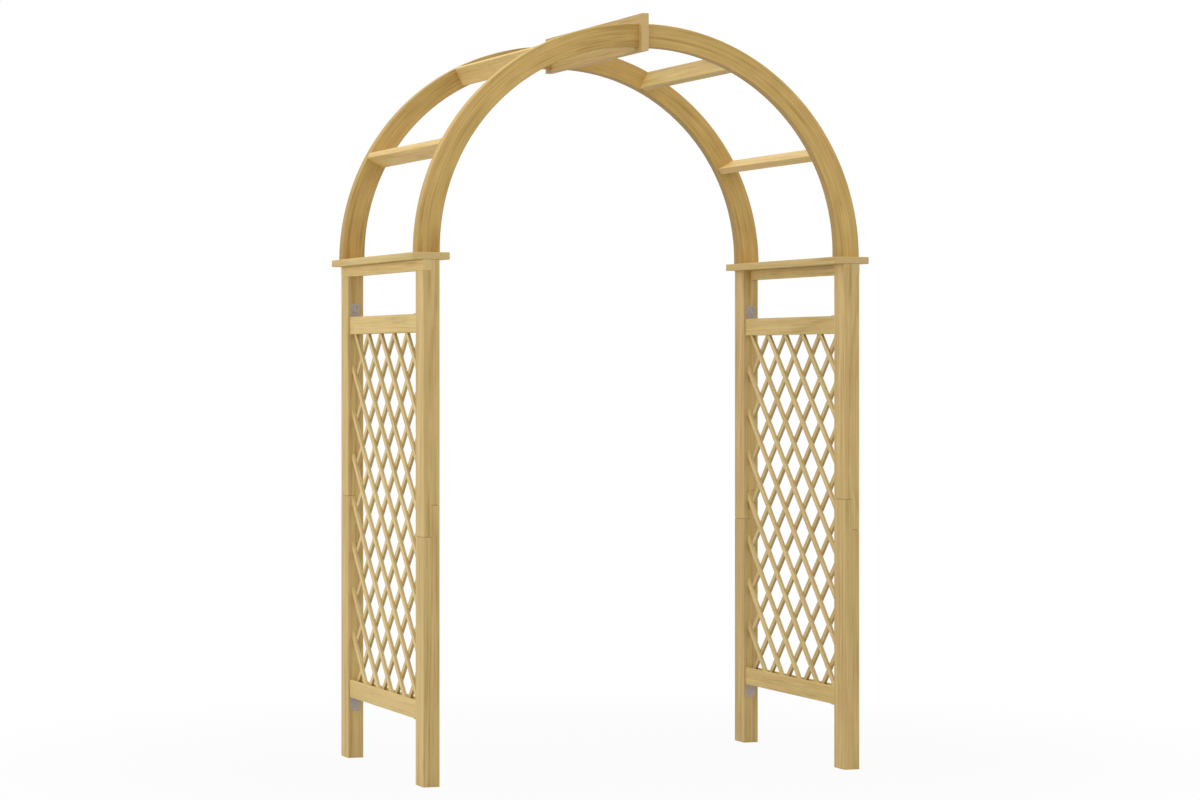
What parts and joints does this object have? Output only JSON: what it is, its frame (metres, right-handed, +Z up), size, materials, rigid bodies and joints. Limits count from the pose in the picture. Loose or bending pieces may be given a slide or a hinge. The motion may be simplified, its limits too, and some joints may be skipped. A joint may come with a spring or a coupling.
{
  "type": "arched garden trellis",
  "caption": "Round-arched timber garden trellis: posts with diagonal lattice sides, cap boards, and an arch of half ribs joined by a ridge beam and rungs.",
  "frame": {"origin": "on the ground, in the middle of the four feet", "axes": "+Z up; +X across the passage, to the right as seen from the front; +Y through the passage, from front to back"},
  "size_m": [1.293, 0.8, 2.035],
  "materials": {
    "pine_timber": "planed pine, honey tan, clear matt stain, eased edges",
    "lattice_pine": "sawn and planed pine slats, honey tan, matt",
    "zinc_steel": "dull zinc plate",
    "dowel_wood": "plain beech dowel"
  },
  "bodies": {
    "root": {"front_left_post_upper": "pine_timber", "front_left_upper_bracket": "zinc_steel", "front_left_post_lower": "pine_timber", "front_left_lower_bracket": "zinc_steel", "front_left_rib": "pine_timber", "back_left_post_upper": "pine_timber", "back_left_upper_bracket": "zinc_steel", "back_left_post_lower": "pine_timber", "back_left_lower_bracket": "zinc_steel", "back_left_rib": "pine_timber", "left_top_rail": "pine_timber", "left_cap_board": "pine_timber", "left_upper_lattice_rail": "pine_timber", "left_upper_rung": "pine_timber", "left_lower_lattice_rail": "pine_timber", "left_lower_rung": "pine_timber", "left_slats_rising_to_back": "lattice_pine", "left_slats_rising_to_front": "lattice_pine", "left_lattice_brads": "zinc_steel", "front_right_post_upper": "pine_timber", "front_right_upper_bracket": "zinc_steel", "front_right_post_lower": "pine_timber", "front_right_lower_bracket": "zinc_steel", "front_right_rib": "pine_timber", "back_right_post_upper": "pine_timber", "back_right_upper_bracket": "zinc_steel", "back_right_post_lower": "pine_timber", "back_right_lower_bracket": "zinc_steel", "back_right_rib": "pine_timber", "right_top_rail": "pine_timber", "right_cap_board": "pine_timber", "right_upper_lattice_rail": "pine_timber", "right_upper_rung": "pine_timber", "right_lower_lattice_rail": "pine_timber", "right_lower_rung": "pine_timber", "right_slats_rising_to_back": "lattice_pine", "right_slats_rising_to_front": "lattice_pine", "right_lattice_brads": "zinc_steel", "ridge_beam": "pine_timber", "lap_screws": "zinc_steel", "cap_screws": "zinc_steel", "rib_foot_screws": "zinc_steel", "bracket_screws": "zinc_steel", "rung_dowels": "dowel_wood", "ridge_dowels": "dowel_wood"}
  },
  "joints": []
}
